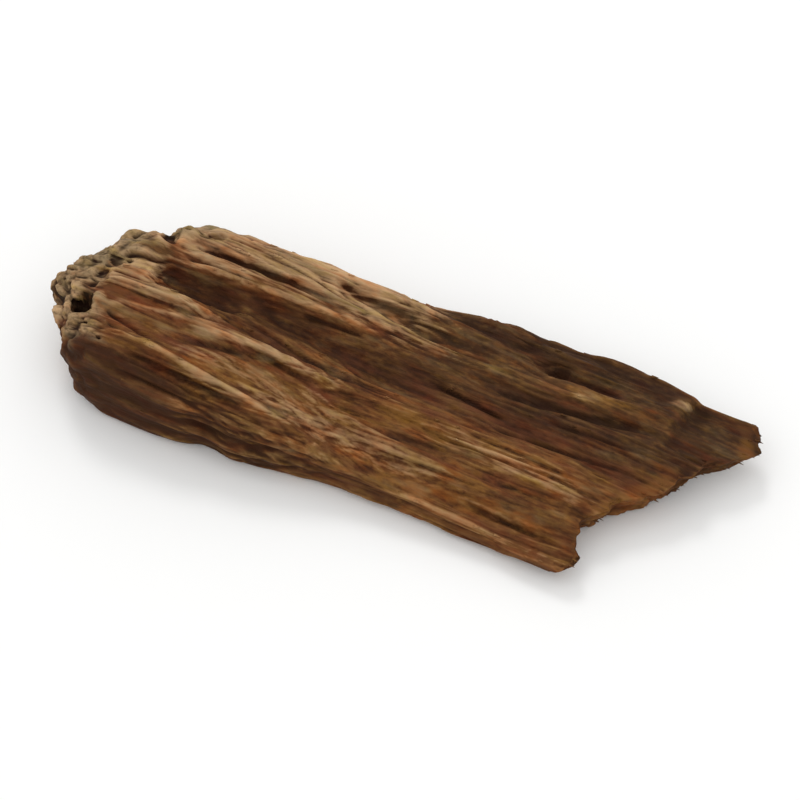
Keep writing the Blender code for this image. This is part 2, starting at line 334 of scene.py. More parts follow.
    broken: Pair = (1.6, 0.8)
    rags: Pair = (17.0, 1.3)
    squareness: Pair = (7.0, 4.0)
    waves: tuple[tuple[float, float, float], ...] = ((13.0, 3.4, 0.34), (22.0, 1.8, 0.30))
    wave_seed: int = 7
    lumps: tuple[float, float, float, float] = (3.2, 2.3, 0.85, 0.3)
    lump_reach: Pair = (7.0, 2.5)
    wall_share: float = 0.15
    length: float = 70.0

    def upper_height(self, x: Array, y: Array, across: Array) -> Array:
        """Height of the upper face: it falls from the rim and the crest to the tongue, with relief on it."""
        height = (1.0 - across) * curve_through(self.crest_height, x)
        height += across * curve_through(self.rim_height, x)
        height += 4.0 * across * (1.0 - across) * curve_through(self.crown_height, x)
        past_step = blend((x - self.step_place - self.step_slant * (1.0 - across)) / self.step_length)
        first, last = self.step_across
        height -= self.step_drop * past_step * blend((across - first) / (last - first))
        for x0, y0, radius, rise in self.knobs:
            height += rise * np.exp(-(((x - x0) ** 2 + (y - y0) ** 2) / radius**2) ** 1.5)
        return height + line_relief(x, y, self.upper_lines, self.line_fade)

    def under_height(self, x: Array, y: Array, across: Array) -> Array:
        """Height of the underside, below 0 where it is cut flat: lifted edges, grooves and a gentle wave."""
        lift = self.tongue_lift[0] * blend((x - self.tongue_lift[1]) / (self.length - self.tongue_lift[1]))
        rise, width, start, reach = self.near_lift
        lift += rise * blend(1.0 - across / width) * blend((x - start) / reach)
        lift += self.far_lift[0] * blend(1.0 - (1.0 - across) / self.far_lift[1])
        rise, wave_length, waves_across = self.under_wave
        spot = np.stack([x / wave_length, across * waves_across, np.zeros_like(x)], -1)
        lift += rise * lattice_noise(spot, self.wave_seed + 1)
        lift += line_relief(x, y, self.under_lines, self.line_fade)
        return lift - self.under_sag

    def points(self, block: Array) -> tuple[Array, Array, Array]:
        """Maps the net's places to the chip.

        Args:
            block: places along, across and through the grain, from 0 to 1.

        Returns:
            The points in mm, and how far each lies from the knobby end and from the break, in mm.
        """
        along, across, through = block.T
        along = along - self.end_crowding * np.sin(2.0 * np.pi * along) / (2.0 * np.pi)
        side, level = 2.0 * across - 1.0, 2.0 * through - 1.0
        near_square, far_square = self.squareness
        square = 0.5 * (near_square + far_square) + 0.5 * side * (far_square - near_square)
        reach = np.maximum(np.maximum(abs(side), abs(level)), TINY)
        rounding = reach / (abs(side) ** square + abs(level) ** square + TINY) ** (1.0 / square)
        across, level = 0.5 + 0.5 * side * rounding, level * rounding

        start = np.interp(across, *np.array(self.knobby_end).T)
        end = np.interp(across, *np.array(self.tongue_end).T)
        rag_places = np.stack([across * self.rags[0], level * self.rags[1], np.zeros_like(level)], -1)
        rags = lattice_noise(rag_places, self.wave_seed + 2)
        start = start + (self.lobe[0] * rags + self.lobe[1] * (1.0 - level)) * (1.0 - along)
        slant, ragged = self.broken
        end = end - slant * 0.5 * (1.0 - level) + ragged * np.minimum(rags, 0.0) * along
        x = start + (end - start) * along
        near, far = curve_through(self.near_edge, x), curve_through(self.far_edge, x)
        y = near + (far - near) * across

        top, bottom = self.upper_height(x, y, across), self.under_height(x, y, across)
        nose_radius, nose_level, blunt = self.nose
        nose = np.clip((x - start) / nose_radius, 0.0, 1.0)
        nose = blunt + (1.0 - blunt) * np.sqrt(nose * (2.0 - nose))
        top = nose_level + (top - nose_level) * np.where(top > nose_level, nose, 1.0)
        bottom = nose_level + (bottom - nose_level) * nose
        z = 0.5 * (top + bottom) + 0.5 * level * (top - bottom)

        places, wave = np.stack([x, y, z], -1), np.zeros_like(x)
        for step, (length, width, rise) in enumerate(self.waves):
            wave += rise * grain_noise(places, length, width, self.wave_seed + 3 + step)
        lump_along, lump_across, rise, even = self.lumps
        lumps = grain_noise(places, lump_along, lump_across, self.wave_seed + 5)
        lumps = rise * (abs(lumps) - even) * blend(1.0 - (x - start) / self.lump_reach[0])
        wave += lumps
        wall = line_relief(x, 0.5 + 0.5 * level, self.wall_lines, self.line_fade)
        y = y - (wall + wave) * blend(1.0 - across / self.wall_share)
        y += wave * blend(1.0 - (1.0 - across) / self.wall_share)
        z = np.maximum(z + wave * blend(level), 0.0)
        points = np.stack([x - lumps * blend(1.0 - (x - start) / self.lump_reach[1]), y, z], -1)
        return points, x - start, end - x


class Zone(Enum):
    """What a stretch of the chip's skin is like, and where it takes painted shade and highlight, each kept as
    a share from 0 to 1 at every point.
    """

    # Pale wear, partly painted highlight on raised ridges and tops
    PALE = "pale"
    # Dark resin, with painted shade laid in on the break's face and on shadowed stretches
    RESIN_AND_SHADE = "resin"
    RED = "red"
    GOLD = "gold"
    DULL = "dull"
    FRESH = "fresh"
    SMOOTH = "smooth"
    # Painted shade on the near side and on steep faces low on the far rim
    SIDE = "side"
    KNOBS = "knobs"
    # Painted shade in the crevices between the knobs
    CREVICE_SHADE = "crevice"


@dataclass(frozen=True)
class Patch:
    """A soft-edged patch that lies along the grain: e^-(distance/reach)³ about its middle line.

    Past the line's ends the distance counts for less, by end_stretch, so that the patch runs out slowly.

    Attributes:
        start: one end of its middle line, as (along, across) in mm.
        stop: the other end.
        reach: its half width in mm.
        share: how strong it is in its middle.
        end_stretch: how many times further it reaches along the grain than across it, past its ends.
    """

    start: Pair
    stop: Pair
    reach: float
    share: float
    end_stretch: float = 2.5

    def strength(self, points: Array, ragged: Array) -> Array:
        """The patch's share at each point, seen from above.

        Args:
            points: places in mm.
            ragged: a factor about 1 on each point's distance, which frays the patch's edge.

        Returns:
            A share from 0 to 1 at each point.
        """
        run = np.array(self.stop) - np.array(self.start)
        length = np.linalg.norm(run)
        ahead = run / length
        offset = points[:, :2] - np.array(self.start)
        along = offset @ ahead
        past = along - np.clip(along, 0.0, length)
        aside = offset @ np.array([-ahead[1], ahead[0]])
        distance = np.hypot(past / self.end_stretch, aside) * ragged
        return self.share * np.exp(-((distance / self.reach) ** 3))


@dataclass(frozen=True)
class Relief:
    """One stretched noise and the relief that it can give.

    Attributes:
        length: how long its patches are along the grain, in mm.
        width: how wide they are, in mm.
        height: how high or deep the relief is, in mm.
        seed: picks the noise.
        edge: the change in the noise over which a line or a shelf ends.
        level: the noise at a shelf's edge, or at a lump's even height.
    """

    length: float
    width: float
    height: float
    seed: int
    edge: float = 1.0
    level: float = 0.0

    def rolling(self, points: Array) -> Array:
        """Height times the noise itself."""
        return self.height * grain_noise(points, self.length, self.width, self.seed)

    def line(self, points: Array) -> Array:
        """A thin line where the noise passes through zero: height times e^-(noise/edge)²."""
        noise = grain_noise(points, self.length, self.width, self.seed)
        return self.height * np.exp(-((noise / self.edge) ** 2))

    def shelf(self, points: Array) -> Array:
        """Height where the noise is below its level, eased to 0 over its edge."""
        noise = grain_noise(points, self.length, self.width, self.seed)
        return self.height * blend(0.5 - (noise - self.level) / self.edge)

    def lumps(self, points: Array) -> Array:
        """Round lumps with creases between them: height times (|noise| - level)."""
        return self.height * (abs(grain_noise(points, self.length, self.width, self.seed)) - self.level)


@dataclass(frozen=True)
class WeatheredSkin:
    """What splitting, weather and insects did to the chip's skin, on top of its form, and where its colour
    takes painted shade and highlight. Sizes are in mm.

    Attributes:
        bundles, strands, ribs: the grain's rounded bundles, its finest rolling, and raised fibres.
        grooves, cracks: long grooves, and shorter and finer cracks.
        tears, chips: layers torn off, and small flakes.
        nodules, grit, pores: the knobby end's lumps, the small ones on them, and its holes.
        patchy: makes the grooves deeper here and shallower there, within patchy_range, and the cracks
            shallower where they are deep, by patchy_cracks.
        ragged, uneven, fraying: unevenness of the ends' and sides', the knobs' and the patches' limits.
        knob_depth: how far the knobs reach in, and over what length they fade.
        knob_fibres: the share of the fibrous relief that the knobs take away.
        smooth_knobs, smooth_strands: the shares of both reliefs that stay where the skin is smooth.
        loose_pores: the share of the pores off the knobs, and how strong the grooves are there.
        bare_corner, bare_fade: the near lower corner, split clean: its limits across and up, over what
            distance it ends, and how ragged.
        bend, bend_up: slow bending of the fibres across, and up and down.
        swirl, swirl_width: the small knot's place along and across, reach and swing, and its width by its
            length.
        line_fade: the shares of a line over which it fades in, and out.
        lines, lips: single ridges and grooves, and single small rises and dents, seen in the photograph.
        fine_cavity, broad_cavity: how far above its neighbours a point counts as fully raised.
        smoothing: how many rounds of averaging make its close and its wider neighbours.
        side_facing: how much a face points sideways before it takes painted shade, and over what range that
            grows.
        side_top, side_fade: where across the near side's painted shade begins, over what distance that limit
        is eased, and how ragged it is.
        far_side: the upper limit in height of the painted shade on the far side, over what distance it is
        eased, and where across the far half begins.
        knobs_down_side: from where along, and over what length, the near side has no knobs.
        pale_aside: the share of the pale wear and painted highlight that stays on what doesn't face up.
        bleach_and_shade: the pale share of the knobs, least and most, and how far up a face points where it
        begins to grow: pale weathering, with painted shade where a knob faces down or aside.
        fresh_edge: the fresh share along the break, and how far in it reaches.
        end_face_shade: the painted shade on the break's face, as a resin share: its strength, how much a face
        points along before it counts, over what range that grows, and how far from the break it counts.
        patches: for each zone, where the skin belongs to it.
    """

    bundles: Relief = Relief(20.0, 1.5, 0.20, 21)
    grooves: Relief = Relief(24.0, 1.05, 0.26, 22, edge=0.17)
    cracks: Relief = Relief(11.0, 0.70, 0.13, 23, edge=0.22)
    ribs: Relief = Relief(15.0, 0.75, 0.10, 31, edge=0.22)
    strands: Relief = Relief(4.5, 0.40, 0.10, 24)
    tears: Relief = Relief(22.0, 1.7, 0.20, 25, edge=0.08)
    chips: Relief = Relief(4.0, 0.8, 0.09, 26, edge=0.24, level=-0.25)
    nodules: Relief = Relief(2.8, 1.6, 0.50, 32, level=0.3)
    grit: Relief = Relief(1.3, 0.6, 0.15, 28, level=0.3)
    pores: Relief = Relief(2.0, 0.9, 0.60, 29, edge=0.20, level=-0.44)
    patchy: Relief = Relief(9.0, 3.0, 1.6, 42)
    ragged: Relief = Relief(3.0, 1.2, 0.5, 41)
    uneven: Relief = Relief(4.0, 1.8, 0.35, 43)
    knob_depth: Pair = (2.6, 4.4)
    knob_fibres: float = 0.45
    smooth_knobs: float = 0.15
    smooth_strands: float = 0.3
    patchy_range: Pair = (0.55, 0.45)
    patchy_cracks: float = 0.5
    loose_pores: Pair = (0.15, 0.75)
    bare_corner: Pair = (4.6, 7.2)
    bare_fade: tuple[float, float, float] = (1.8, 1.5, 0.5)
    bend: Relief = Relief(20.0, 6.0, 0.40, 30)
    bend_up: Relief = Relief(20.0, 6.0, 0.24, 80)
    swirl: tuple[float, float, float, float] = (29.3, 7.9, 2.6, 0.28)
    swirl_width: float = 0.7
    line_fade: Pair = (0.18, 0.30)
    lines: Lines = (
        ((12.0, 16.1), (24.0, 16.9), 0.22, -0.45), ((5.2, 12.1), (10.4, 13.1), 0.25, -0.55),
        ((11.3, 14.5), (18.6, 14.7), 0.20, -0.45), ((11.2, 15.3), (19.0, 15.4), 0.35, 0.30),
        ((10.4, 13.5), (36.0, 16.0), 0.45, 0.30), ((25.0, 18.8), (35.0, 19.2), 0.24, -0.45),
        ((31.0, 18.1), (38.0, 18.4), 0.20, -0.40), ((24.0, 14.0), (31.0, 14.6), 0.20, -0.45),
        ((11.0, 11.2), (20.0, 11.4), 0.45, -0.45), ((5.4, 8.8), (16.0, 9.1), 0.50, 0.30),
        ((6.8, 6.4), (16.0, 8.0), 0.40, 0.25), ((7.2, 5.3), (13.5, 4.0), 0.20, -0.50),
        ((16.0, 7.2), (30.5, 9.1), 0.40, 0.30), ((16.3, 5.7), (21.8, 6.9), 0.30, -0.35),
        ((22.5, 7.7), (29.5, 7.6), 0.22, -0.40), ((9.0, 3.3), (33.0, 2.0), 0.35, 0.30),
        ((8.0, 4.1), (13.0, 3.1), 0.24, -0.45), ((10.5, 1.75), (26.0, 1.6), 0.20, -0.55),
        ((9.4, 3.4), (22.0, 2.2), 0.30, 0.15), ((11.0, -0.3), (24.0, -0.2), 0.20, -0.50),
        ((10.0, 0.7), (30.0, 0.5), 0.32, 0.28), ((38.4, 13.7), (47.4, 12.9), 0.17, -0.60),
        ((44.0, 15.3), (61.5, 18.0), 0.35, -0.45), ((47.0, 20.2), (56.0, 20.3), 0.45, -0.45),
        ((47.0, 19.2), (61.0, 19.9), 0.30, 0.25), ((36.0, 6.5), (47.0, 7.9), 0.35, -0.30),
        ((40.5, 4.6), (48.5, 5.1), 0.20, -0.35), ((45.0, 11.5), (60.5, 12.7), 0.22, -0.40),
        ((50.0, 14.4), (62.0, 15.2), 0.22, -0.30), ((46.0, 3.6), (59.5, 3.2), 0.22, -0.40),
        ((43.0, 9.9), (56.0, 9.6), 0.20, -0.30),
    )
    lips: Spots = (
        (60.8, 22.0, 1.0, 0.30), (62.9, 22.4, 0.9, -0.35), (3.4, 6.6, 0.8, 0.35), (3.0, 4.6, 0.8, 0.35),
        (64.6, 14.9, 0.7, -0.35),
    )
    fine_cavity: float = 0.09
    broad_cavity: float = 0.30
    smoothing: tuple[int, int] = (6, 60)
    side_facing: Pair = (0.25, 0.55)
    side_top: Stations = (
        (0, 2.2), (8, 1.9), (12, 1.7), (18, 1.4), (22, 1.2), (26, 0.8), (33, 1.0), (45, 1.2), (70, 1.2),
    )
    side_fade: Pair = (0.9, 0.4)
    far_side: tuple[float, float, float] = (5.0, 2.5, 11.0)
    knobs_down_side: Pair = (5.0, 2.0)
    pale_aside: float = 0.4
    bleach_and_shade: tuple[float, float, float] = (0.14, 0.54, -0.3)
    fresh_edge: Pair = (0.25, 0.9)
    end_face_shade: tuple[float, float, float, float] = (0.65, 0.35, 0.4, 2.0)
    fraying: Relief = Relief(7.0, 0.9, 0.5, 44)
    patches: tuple[tuple[Zone, tuple[Patch, ...]], ...] = (
        # Pale, partly wear and partly painted highlight: the far rim, the ridges, the crest, the plate and
        # the lip
        (Zone.PALE, (
            Patch((2.8, 4.2), (4.2, 4.2), 0.9, 0.70), Patch((4.0, 8.8), (16.0, 9.1), 1.1, 0.6),
            Patch((4.0, 11.4), (9.0, 12.0), 1.5, 1.00, 1.5), Patch((5.0, 9.8), (18.0, 9.6), 3.2, 0.14),
            Patch((5.0, 10.2), (10.5, 10.2), 1.1, 0.50), Patch((7.0, 6.4), (15.0, 7.8), 0.6, 0.36),
            Patch((10.0, 16.8), (30.0, 18.9), 2.6, 0.72), Patch((10.5, 13.8), (36.0, 16.4), 0.8, 0.34),
            Patch((10.5, 19.2), (34.0, 21.5), 1.5, 0.65), Patch((11.6, 15.2), (17.0, 15.1), 0.5, 1.00),
            Patch((17.0, 4.8), (33.0, 5.6), 1.6, 0.38), Patch((17.0, 7.2), (29.5, 9.0), 0.8, 0.38),
            Patch((17.4, 8.0), (21.0, 8.0), 0.7, 0.60), Patch((18.0, 2.4), (27.0, 2.6), 0.6, 0.40),
            Patch((24.0, 3.2), (31.0, 3.4), 1.1, 0.45), Patch((28.0, 17.8), (37.0, 16.6), 1.6, 0.50),
            Patch((32.0, 4.0), (41.0, 4.4), 1.3, 0.42), Patch((36.0, 3.1), (53.0, 3.8), 0.8, 0.20),
            Patch((44.0, 8.4), (56.0, 8.6), 1.0, 0.50), Patch((52.2, 18.5), (57.0, 20.1), 0.6, 0.25),
            Patch((56.5, 7.9), (60.0, 7.4), 0.9, 0.35), Patch((59.8, 21.8), (62.3, 22.5), 0.5, 0.85, 1.5),
        )),
        # Partly dark resin, partly painted shade: the furrow, the cracks, the wall's lower part and the far
        # right
        (Zone.RESIN_AND_SHADE, (
            Patch((4.0, 0.4), (14.0, 0.0), 2.0, 0.88), Patch((4.5, 5.4), (5.1, 5.4), 0.8, 1.0, 1.0),
            Patch((10.5, 12.6), (14.0, 12.6), 1.0, 0.60), Patch((13.5, 11.6), (24.0, 12.1), 1.8, 0.78, 1.2),
            Patch((16.3, 5.7), (21.5, 6.8), 0.5, 0.7), Patch((17.0, 12.0), (38.0, 13.4), 2.3, 0.80),
            Patch((20.0, 10.2), (33.0, 9.9), 1.0, 0.55), Patch((22.0, 0.0), (38.0, 0.8), 1.4, 0.55),
            Patch((38.0, 16.3), (53.0, 16.7), 1.1, 0.50), Patch((38.5, 7.0), (46.0, 7.9), 0.6, 0.5),
            Patch((38.5, 13.6), (47.5, 12.9), 0.4, 0.9), Patch((40.0, 14.4), (63.0, 16.3), 2.2, 0.58),
            Patch((41.0, 19.8), (54.0, 21.4), 1.3, 0.72), Patch((42.0, 22.4), (57.5, 23.2), 2.2, 1.0),
            Patch((43.0, 12.2), (61.0, 12.8), 1.6, 0.60), Patch((46.0, 15.7), (62.0, 17.7), 1.1, 0.95),
            Patch((47.9, 20.2), (54.0, 20.3), 0.9, 0.85), Patch((48.0, 14.1), (65.5, 15.6), 2.2, 0.90),
            Patch((50.0, 5.0), (57.5, 4.8), 0.8, 0.70), Patch((57.5, 9.0), (58.5, 3.5), 1.2, 0.4),
            Patch((61.9, 22.6), (60.9, 15.6), 0.6, 0.45), Patch((62.0, 20.5), (68.0, 20.5), 3.4, 0.75),
            Patch((63.8, 14.6), (66.4, 14.7), 1.2, 1.00, 1.0),
        )),
        # Reddish wood
        (Zone.RED, (
            Patch((4.0, 0.8), (13.0, 0.4), 2.0, 1.0), Patch((7.5, 5.2), (18.0, 5.6), 1.4, 0.7),
            Patch((8.0, 8.0), (24.0, 8.0), 2.6, 0.45), Patch((11.5, 12.9), (17.5, 12.9), 0.5, 0.5),
            Patch((12.0, 13.0), (19.0, 13.2), 0.8, 0.8), Patch((31.0, 12.2), (41.0, 11.6), 1.6, 0.6),
            Patch((45.0, 6.5), (52.0, 6.8), 0.9, 0.5), Patch((48.0, 13.2), (63.0, 13.6), 2.6, 0.6),
            Patch((49.0, 20.1), (54.5, 20.3), 0.8, 1.0), Patch((66.0, 17.2), (68.6, 18.6), 0.7, 0.9),
        )),
        # Golden wood
        (Zone.GOLD, (
            Patch((14.0, 9.4), (22.0, 9.4), 0.8, 0.5), Patch((17.0, 4.6), (41.0, 7.2), 1.5, 0.8),
            Patch((18.0, 3.7), (23.0, 3.8), 0.8, 1.0), Patch((36.0, 3.1), (58.0, 3.9), 1.1, 0.8),
            Patch((38.0, 8.4), (56.0, 8.7), 1.3, 1.0), Patch((42.0, 5.6), (57.0, 5.4), 1.0, 0.6),
            Patch((48.0, 10.0), (54.0, 10.0), 0.9, 0.5), Patch((51.0, 18.3), (59.5, 20.2), 0.7, 0.90),
            Patch((54.0, 18.9), (60.0, 19.4), 0.6, 0.6),
        )),
        # Dull grey-brown wood
        (Zone.DULL, (
            Patch((5.2, 13.3), (9.0, 14.2), 1.4, 0.8, 1.0), Patch((40.0, 20.6), (68.0, 20.3), 4.2, 0.85),
            Patch((42.0, 16.6), (64.0, 18.0), 3.2, 0.75),
        )),
        # Broken last: the tongue's tip and the break's middle
        (Zone.FRESH, (
            Patch((62.5, 12.4), (59.8, 8.6), 0.9, 0.8), Patch((68.6, 20.5), (69.5, 18.8), 0.9, 0.8),
        )),
        # Smoother than the rest
        (Zone.SMOOTH, (
            Patch((3.0, 0.2), (13.0, -0.6), 2.4, 0.80), Patch((5.2, 13.3), (9.0, 14.2), 1.3, 1.0, 1.0),
            Patch((8.5, 5.2), (16.5, 5.6), 1.3, 0.85), Patch((9.0, 7.0), (22.0, 7.6), 2.0, 0.30),
            Patch((13.0, 11.6), (24.0, 12.1), 1.6, 0.45), Patch((14.0, 12.9), (40.0, 14.8), 2.4, 0.60),
            Patch((17.0, 4.2), (42.0, 5.4), 3.0, 0.62), Patch((44.0, 4.4), (60.0, 5.2), 3.4, 0.55),
            Patch((45.0, 12.0), (62.0, 12.5), 3.5, 0.40), Patch((50.0, 17.5), (64.0, 19.0), 2.5, 0.40),
            Patch((62.5, 20.5), (70.0, 20.5), 3.6, 0.75),
        )),
    )

    def grain_places(self, points: Array) -> Array:
        """Where each point lies in the grain, whose fibres bend a little and swirl about one small knot.

        The places are the points, shifted across and up by slow noise, and about the knot by a sine wave
        that dies away with e^-(distance/reach)².
        """
        x0, y0, reach, swing = self.swirl
        off = points[:, 0] - x0
        far = (off / reach) ** 2 + ((points[:, 1] - y0) / (self.swirl_width * reach)) ** 2
        places = points.copy()
        places[:, 1] += self.bend.rolling(points) + swing * np.exp(-far) * np.sin(off / (0.5 * reach))
        places[:, 2] += self.bend_up.rolling(points)
        return places

    def zones(self, points: Array, normals: Array, from_knobs: Array, from_break: Array) -> dict[Zone, Array]:
        """The share of every zone at each point: the strongest of its patches, the broken ends, and the
        painted shade on the sides and on the break's face.

        Args:
            points: the form's points in mm.
            normals: the form's outward directions.
            from_knobs: how far each point lies from the knobby end.
            from_break: how far each point lies from the break.

        Returns:
            For each zone, a share from 0 to 1 at each point.
        """
        shares = {zone: np.zeros(len(points)) for zone in Zone}
        x, y, height = points.T
        ragged = 1.0 + self.ragged.rolling(points)
        frayed = 1.0 + self.fraying.rolling(points)
        for zone, patches in self.patches:
            shares[zone] = np.max([patch.strength(points, frayed) for patch in patches], axis=0)
        # Pale is strongest on faces that point up: painted highlight on the tops
        shares[Zone.PALE] *= self.pale_aside + (1.0 - self.pale_aside) * blend(normals[:, 2] / UPWARD)

        width, rags = self.side_fade
        below_crest = blend((curve_through(self.side_top, x) - y) / width + rags * (ragged - 1.0))
        start, run = self.knobs_down_side
        shares[Zone.KNOBS] = self.knobs(points, from_knobs) * (1.0 - below_crest * blend((x - start) / run))
        elsewhere = 1.0 - shares[Zone.KNOBS]
        # Pale weathering on the knobs, with painted shade where a face points down or aside
        least, most, begins = self.bleach_and_shade
        bleach_and_shade = least + (most - least) * blend(normals[:, 2] - begins)
        shares[Zone.PALE] = np.maximum(shares[Zone.PALE], bleach_and_shade * shares[Zone.KNOBS])

        share, reach = self.fresh_edge
        fresh = share * blend(1.0 - from_break / (reach * ragged))
        shares[Zone.FRESH] = np.maximum(shares[Zone.FRESH], fresh)
        # Painted shade on the break's face, which points along the grain, laid into the resin share
        share, least, span, reach = self.end_face_shade
        end_face_shade = share * blend((normals[:, 0] - least) / span) * elsewhere * blend(1.5 - from_break / reach)
        shares[Zone.RESIN_AND_SHADE] = np.maximum(shares[Zone.RESIN_AND_SHADE], end_face_shade)

        # Painted shade on the near side below the crest, and on steep faces low on the far rim, off the knobs
        least, span = self.side_facing
        top, span_up, middle = self.far_side
        steep = blend((abs(normals[:, 1]) - least) / span)
        low_rim = blend((top - height) / span_up) * (y > middle)
        shares[Zone.SIDE] = np.maximum(below_crest, steep * low_rim) * elsewhere
        return shares

    def knobs(self, points: Array, from_knobs: Array) -> Array:
        """The share of weathered knobs at each point: all round the end, but not on its near lower corner."""
        solid, reach = self.knob_depth
        uneven = 1.0 + self.uneven.rolling(points)
        share = 1.0 - blend((from_knobs * uneven - solid) / reach)
        near, top = self.bare_corner
        fade_across, fade_up, rags = self.bare_fade
        bare = blend((near - points[:, 1]) / fade_across + rags * (uneven - 1.0))
        bare *= blend((top - points[:, 2]) / fade_up)
        return share * (1.0 - bare)

    def relief(self, points: Array, places: Array, upper: Array, zones: Mapping[Zone, Array]) -> Array:
        """Height of the weathered relief over the form, in mm, below 0 where it is cut in.

        Fibre bundles are stretched noise. Grooves and cracks are cut where other stretched noises pass
        through zero: e^-(noise/edge)². Torn layers step down where a third is below zero. Single lines and
        lips are added to them. Knobs are |noise|, rounded lumps with creases between them, and pores are
        cut where a noise is lowest.

        Args:
            points: the form's points in mm.
            places: where they lie in the grain.
            upper: the share of upper face at each point.
            zones: what the skin is like at each point.

        Returns:
            The relief at each point.
        """
        plain = 1.0 - zones[Zone.SMOOTH]
        knobs = zones[Zone.KNOBS] * (self.smooth_knobs + (1.0 - self.smooth_knobs) * plain)
        fibrous = plain * (1.0 - self.knob_fibres * knobs)
        middle, span = self.patchy_range
        patchy = middle + span * np.clip(self.patchy.rolling(points), -1.0, 1.0)
        loose, patchy_least = self.loose_pores

        height = (self.bundles.rolling(places) + self.ribs.line(places) - self.tears.shelf(places)) * fibrous
        height -= (self.grooves.line(places) + self.chips.shelf(places)) * fibrous * patchy
        height -= self.cracks.line(places) * fibrous * (1.0 - self.patchy_cracks * patchy)
        height += self.strands.rolling(places) * (self.smooth_strands + (1.0 - self.smooth_strands) * fibrous)
        height += line_relief(points[:, 0], points[:, 1], self.lines, self.line_fade) * upper
        for x0, y0, radius, rise in self.lips:
            far = ((points[:, 0] - x0) ** 2 + (points[:, 1] - y0) ** 2) / radius**2
            height += rise * np.exp(-(far**1.5)) * upper
        height += (self.nodules.lumps(points) + self.grit.lumps(points)) * knobs
        height -= self.pores.shelf(points) * (knobs + loose * fibrous * (patchy > patchy_least))
        return height


@dataclass(frozen=True)
class Surface:
    """What is known at each point of a surface: its place in mm, its place in the grain, and its shares."""

    points: Array
    normals: Array
    places: Array
    shares: dict[str, Array]

    def rows(self, chosen: Array) -> "Surface":
        """The same for some of the points."""
        shares = {name: values[chosen] for name, values in self.shares.items()}
        return Surface(self.points[chosen], self.normals[chosen], self.places[chosen], shares)

    def paint(self, mesh: bpy.types.Mesh) -> None:
        """Writes the shares and the places in the grain on a mesh that has these points."""
        for name, values in self.shares.items():
            layer = mesh.attributes.new(name, "FLOAT", "POINT")
            layer.data.foreach_set("value", values.astype(np.float32))
        layer = mesh.attributes.new("grain", "FLOAT_VECTOR", "POINT")
        layer.data.foreach_set("vector", self.places.astype(np.float32).ravel())


@dataclass(frozen=True)
class ChipSkin:
    """The chip's whole visible skin, from its form and its weathering.

    Attributes:
        net: how finely the skin is cut.
        form: the chip's form.
        weather: what was done to its skin.
        crevice_shade_parts: how much a dip below the close, and below the wider, neighbours counts as
        painted shade in the knobs' crevices.
    """

    net: BlockNet = BlockNet()
    form: ChipForm = ChipForm()
    weather: WeatheredSkin = WeatheredSkin()
    crevice_shade_parts: Pair = (0.6, 0.8)

    def build(self, low: Array, high: Array) -> tuple[bpy.types.Object, Surface, Array]:
        """Makes the skin's mesh, fitted to the solid's box, with its zones as attributes.

        Args:
            low: the solid's lowest corner, in mm.
            high: the solid's highest corner, in mm.

        Returns:
            The skin's object, its surface, and how far each point lies from the break.
        """
        block, quads = self.net.surface()
        net = SkinNet(quads, len(block))
        base, from_knobs, from_break = self.form.points(block)
        normals = net.normals(base)
        places = self.weather.grain_places(base)
        zones = self.weather.zones(base, normals, from_knobs, from_break)
        upper = blend(normals[:, 2] / UPWARD)
        points = base + normals * self.weather.relief(base, places, upper, zones)[:, None]
        points[:, 2] = np.maximum(points[:, 2], 0.0)

        normals = net.normals(points)
        # How far each point stands above or dips below its neighbours: the finish reads it for dirt and wear,
        # and for painted shade in the dips and painted highlight on the ridges
        few, many = (net.smoothed(points, rounds) for rounds in self.weather.smoothing)
        fine = np.sum((points - few) * normals, axis=1) / self.weather.fine_cavity
        broad = np.sum((points - many) * normals, axis=1) / self.weather.broad_cavity
        # Painted shade: the knobs go dark where they dip below their close and their wider neighbours
        close, wide = self.crevice_shade_parts
        zones[Zone.CREVICE_SHADE] = np.clip(zones[Zone.KNOBS] * (-close * fine - wide * broad), 0.0, 1.0)

        own_low, own_high = points.min(axis=0), points.max(axis=0)
        points = low + (points - own_low) * (high - low) / (own_high - own_low)
        obj = mesh_object("agarwood_skin", points, quads)
        shares = {zone.value: zones[zone] for zone in Zone}
        shares |= {"fine": np.clip(fine, -1.0, 1.0), "broad": np.clip(broad, -1.0, 1.0)}
        surface = Surface(points, normals, places, shares)
        surface.paint(obj.data)
        log.info("skin: %d points, %d quads", len(points), len(quads))
        return obj, surface, from_break


